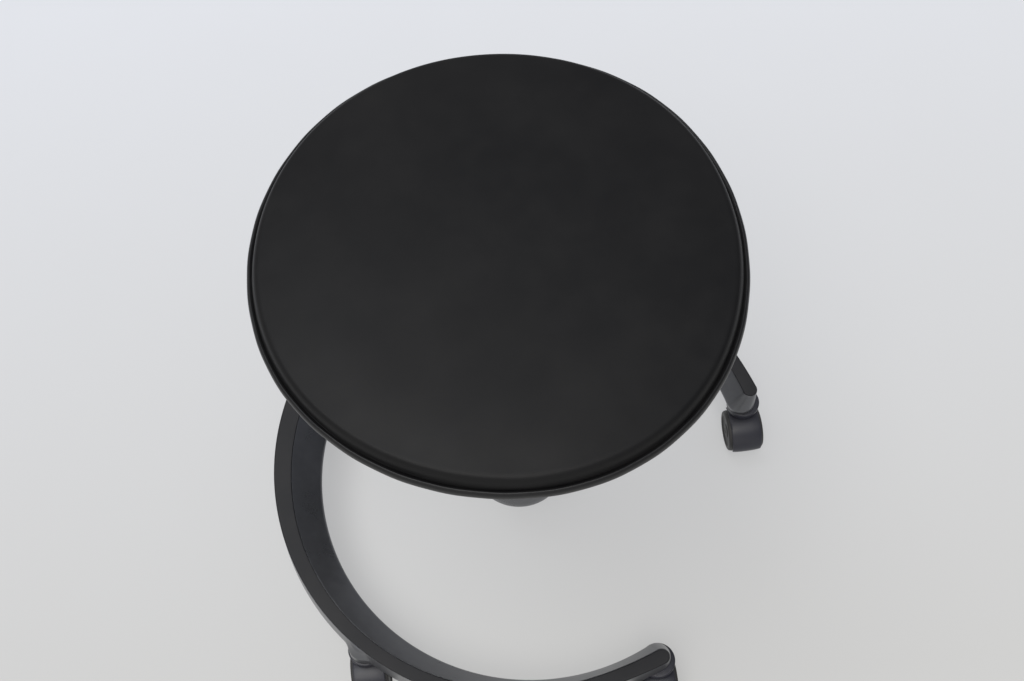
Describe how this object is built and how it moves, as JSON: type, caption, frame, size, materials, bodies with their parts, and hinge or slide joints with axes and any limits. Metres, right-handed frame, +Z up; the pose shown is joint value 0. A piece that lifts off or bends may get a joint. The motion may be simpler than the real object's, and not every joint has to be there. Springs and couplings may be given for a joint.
{
  "type": "office stool",
  "caption": "Backless office stool: round padded seat on a sprung, tilting strut with gas lift, standing in a C-shaped ring base on twin-wheel castors.",
  "frame": {"origin": "on the floor under the axis of the strut", "axes": "+Z up along the strut, +Y to the back of the picture's view, +X to its right"},
  "size_m": [0.5561, 0.5602, 0.583],
  "materials": {
    "paint": "satin",
    "strip": "matt",
    "rubber": "matt",
    "steel": "ground",
    "zinc": "zinc plated",
    "black_steel": "black coated",
    "nylon": "moulded",
    "acetal": "moulded",
    "bronze": "turned",
    "leather": "smooth",
    "pan": "moulded"
  },
  "bodies": {
    "base": {"base_casting": "paint", "tread_strip": "strip", "joint_ring": "zinc", "castor_1_stem": "steel", "castor_2_stem": "steel", "castor_3_stem": "steel", "castor_4_stem": "steel", "castor_5_stem": "steel"},
    "liner": {"joint_liner": "rubber"},
    "strut": {"pivot_foot": "steel", "guide_tube": "black_steel", "guide_sleeve": "acetal", "lower_spring_cup": "zinc", "spring": "black_steel"},
    "tension": {"tension_collar": "nylon"},
    "column": {"column_tube": "steel", "column_ring": "acetal", "upper_spring_cup": "zinc", "spring_circlip": "steel", "cylinder_bush": "acetal", "thrust_bearing": "steel"},
    "rod": {"piston_rod": "steel", "rod_clip": "steel"},
    "seat": {"gas_cylinder": "black_steel", "cylinder_gland": "bronze", "seat_bracket": "black_steel", "lever_pin": "steel", "seat_shell": "pan", "seat_cushion": "leather", "seat_border": "leather", "seat_screw_1": "zinc", "seat_screw_2": "zinc", "seat_screw_3": "zinc", "seat_screw_4": "zinc"},
    "lever": {"lever": "zinc", "lever_grip": "nylon"},
    "button": {"release_button": "steel"},
    "castor_1": {"castor_1_hood": "nylon", "castor_1_axle": "steel"},
    "castor_1_left": {"castor_1_wheel_left": "nylon"},
    "castor_1_right": {"castor_1_wheel_right": "nylon"},
    "castor_2": {"castor_2_hood": "nylon", "castor_2_axle": "steel"},
    "castor_2_left": {"castor_2_wheel_left": "nylon"},
    "castor_2_right": {"castor_2_wheel_right": "nylon"},
    "castor_3": {"castor_3_hood": "nylon", "castor_3_axle": "steel"},
    "castor_3_left": {"castor_3_wheel_left": "nylon"},
    "castor_3_right": {"castor_3_wheel_right": "nylon"},
    "castor_4": {"castor_4_hood": "nylon", "castor_4_axle": "steel"},
    "castor_4_left": {"castor_4_wheel_left": "nylon"},
    "castor_4_right": {"castor_4_wheel_right": "nylon"},
    "castor_5": {"castor_5_hood": "nylon", "castor_5_axle": "steel"},
    "castor_5_left": {"castor_5_wheel_left": "nylon"},
    "castor_5_right": {"castor_5_wheel_right": "nylon"}
  },
  "joints": [
    {"name": "tilt_front_back", "type": "hinge", "parent": "base", "child": "liner", "pos_m": [0, 0, 0.1], "axis": [1, 0, 0], "range_deg": [-8, 8], "stiffness_Nm_per_rad": 250},
    {"name": "tilt_side", "type": "hinge", "parent": "liner", "child": "strut", "pos_m": [0, 0, 0.1], "axis": [0, 1, 0], "range_deg": [-8, 8], "stiffness_Nm_per_rad": 250},
    {"name": "tension_set", "type": "hinge", "parent": "strut", "child": "tension", "pos_m": [0, 0, 0.158], "axis": [0, 0, 1], "range_deg": [-180, 180]},
    {"name": "bounce", "type": "slide", "parent": "strut", "child": "column", "axis": [0, 0, 1], "range_m": [-0.05, 0], "stiffness_N_per_m": 12000, "springref_m": 0.02, "deforming": ["spring"]},
    {"name": "seat_swivel", "type": "hinge", "parent": "column", "child": "rod", "pos_m": [0, 0, 0.22], "axis": [0, 0, 1], "continuous": true},
    {"name": "height", "type": "slide", "parent": "rod", "child": "seat", "axis": [0, 0, 1], "range_m": [-0.08, 0.045]},
    {"name": "lever_pull", "type": "hinge", "parent": "seat", "child": "lever", "pos_m": [0.025, 0, 0.5165], "axis": [0, -1, 0], "range_deg": [0, 6], "stiffness_Nm_per_rad": 2, "springref_deg": -8.59},
    {"name": "button_press", "type": "slide", "parent": "seat", "child": "button", "axis": [0, 0, 1], "range_m": [-0.0035, 0]},
    {"name": "castor_1_swivel", "type": "hinge", "parent": "base", "child": "castor_1", "pos_m": [0.26097, 0.04602, 0.06], "axis": [0, 0, 1], "continuous": true},
    {"name": "castor_1_left_spin", "type": "hinge", "parent": "castor_1", "child": "castor_1_left", "pos_m": [0.26159, 0.02853, 0.02371], "axis": [0.9994, 0.0349, 0], "continuous": true},
    {"name": "castor_1_right_spin", "type": "hinge", "parent": "castor_1", "child": "castor_1_right", "pos_m": [0.26159, 0.02853, 0.02371], "axis": [0.9994, 0.0349, 0], "continuous": true},
    {"name": "castor_2_swivel", "type": "hinge", "parent": "base", "child": "castor_2", "pos_m": [0.12441, -0.23398, 0.06], "axis": [0, 0, 1], "continuous": true},
    {"name": "castor_2_left_spin", "type": "hinge", "parent": "castor_2", "child": "castor_2_left", "pos_m": [0.12441, -0.25148, 0.02371], "axis": [1, 0, 0], "continuous": true},
    {"name": "castor_2_right_spin", "type": "hinge", "parent": "castor_2", "child": "castor_2_right", "pos_m": [0.12441, -0.25148, 0.02371], "axis": [1, 0, 0], "continuous": true},
    {"name": "castor_3_swivel", "type": "hinge", "parent": "base", "child": "castor_3", "pos_m": [-0.18408, -0.19062, 0.06], "axis": [0, 0, 1], "continuous": true},
    {"name": "castor_3_left_spin", "type": "hinge", "parent": "castor_3", "child": "castor_3_left", "pos_m": [-0.18347, -0.20811, 0.02371], "axis": [0.9994, 0.0349, 0], "continuous": true},
    {"name": "castor_3_right_spin", "type": "hinge", "parent": "castor_3", "child": "castor_3_right", "pos_m": [-0.18347, -0.20811, 0.02371], "axis": [0.9994, 0.0349, 0], "continuous": true},
    {"name": "castor_4_swivel", "type": "hinge", "parent": "base", "child": "castor_4", "pos_m": [-0.23818, 0.11617, 0.06], "axis": [0, 0, 1], "continuous": true},
    {"name": "castor_4_left_spin", "type": "hinge", "parent": "castor_4", "child": "castor_4_left", "pos_m": [-0.2391, 0.09869, 0.02371], "axis": [0.9986, -0.0523, 0], "continuous": true},
    {"name": "castor_4_right_spin", "type": "hinge", "parent": "castor_4", "child": "castor_4_right", "pos_m": [-0.2391, 0.09869, 0.02371], "axis": [0.9986, -0.0523, 0], "continuous": true},
    {"name": "castor_5_swivel", "type": "hinge", "parent": "base", "child": "castor_5", "pos_m": [0.03688, 0.26242, 0.06], "axis": [0, 0, 1], "continuous": true},
    {"name": "castor_5_left_spin", "type": "hinge", "parent": "castor_5", "child": "castor_5_left", "pos_m": [0.03749, 0.24493, 0.02371], "axis": [0.9994, 0.0349, 0], "continuous": true},
    {"name": "castor_5_right_spin", "type": "hinge", "parent": "castor_5", "child": "castor_5_right", "pos_m": [0.03749, 0.24493, 0.02371], "axis": [0.9994, 0.0349, 0], "continuous": true}
  ],
  "couplings": [
    {"joint": "button_press", "follows": "lever_pull", "m_per_rad": -0.028}
  ]
}
